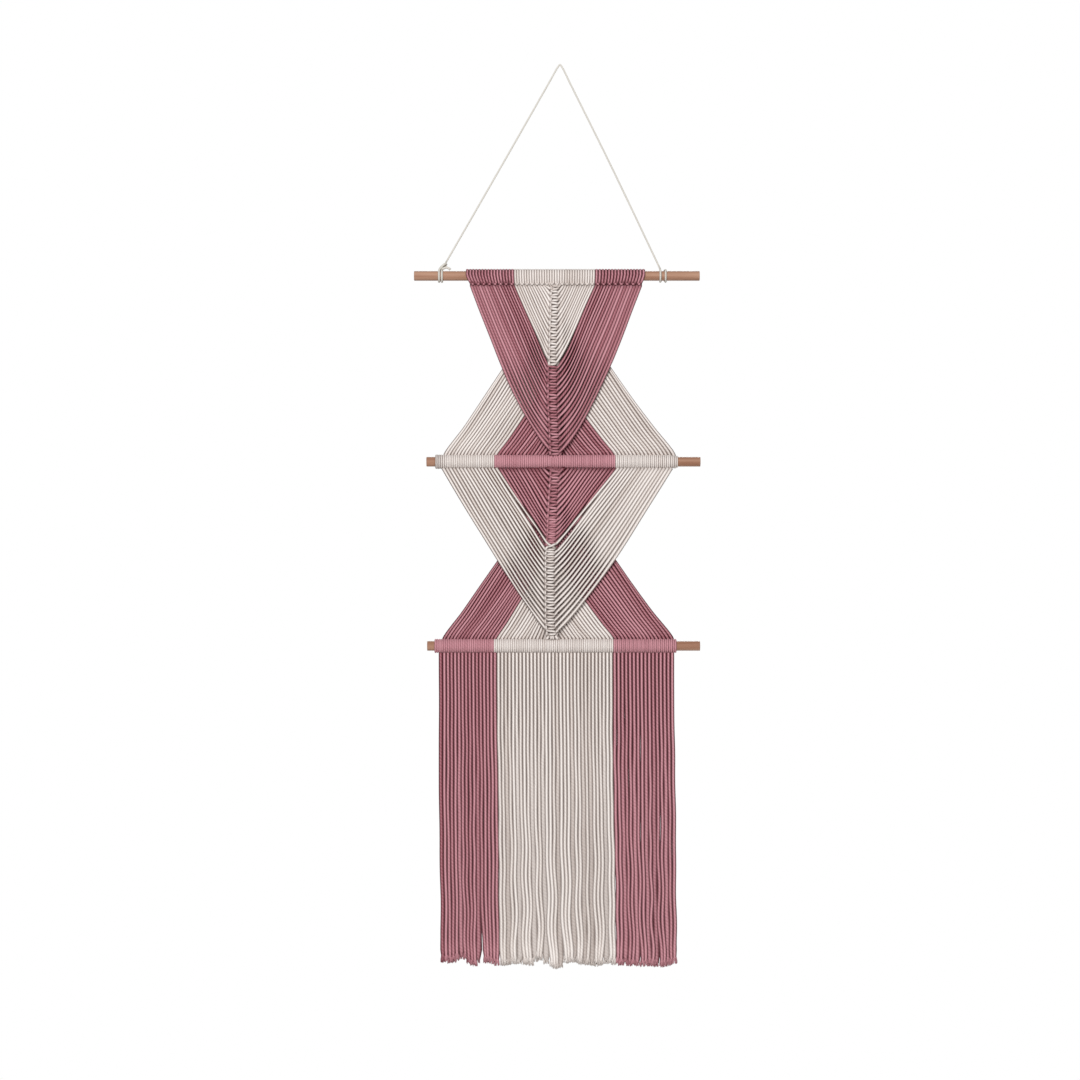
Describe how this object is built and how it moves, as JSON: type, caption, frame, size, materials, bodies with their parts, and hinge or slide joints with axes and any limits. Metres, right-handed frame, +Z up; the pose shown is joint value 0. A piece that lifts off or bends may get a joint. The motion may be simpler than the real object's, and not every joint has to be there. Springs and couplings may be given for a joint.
{
  "type": "macrame wall hanging on wooden dowels",
  "caption": "Two-colour macrame wall hanging with knotted diamond panels between wooden dowels and a long straight fringe, hung by a cord tied to both ends of the top dowel.",
  "frame": {"origin": "the point where the hanging cord lies over its hook", "axes": "+Z up, the front of the hanging faces -Y and its dowels run along X"},
  "size_m": [0.3008, 0.0175, 0.9472],
  "materials": {
    "wood": "bare",
    "rose_cotton": "matte",
    "cream_cotton": "matte",
    "hanging_cord": "matte"
  },
  "bodies": {
    "root": {"dowel_top": "wood", "dowel_middle": "wood", "dowel_bottom": "wood", "hanging_cord": "hanging_cord", "tie_left": "hanging_cord", "tie_right": "hanging_cord", "upper_panel_cream": "cream_cotton", "lower_panel_cream": "cream_cotton", "upper_panel_rose": "rose_cotton", "lower_panel_rose": "rose_cotton", "fringe_left": "rose_cotton", "fringe_centre": "cream_cotton", "fringe_right": "rose_cotton"}
  },
  "joints": []
}
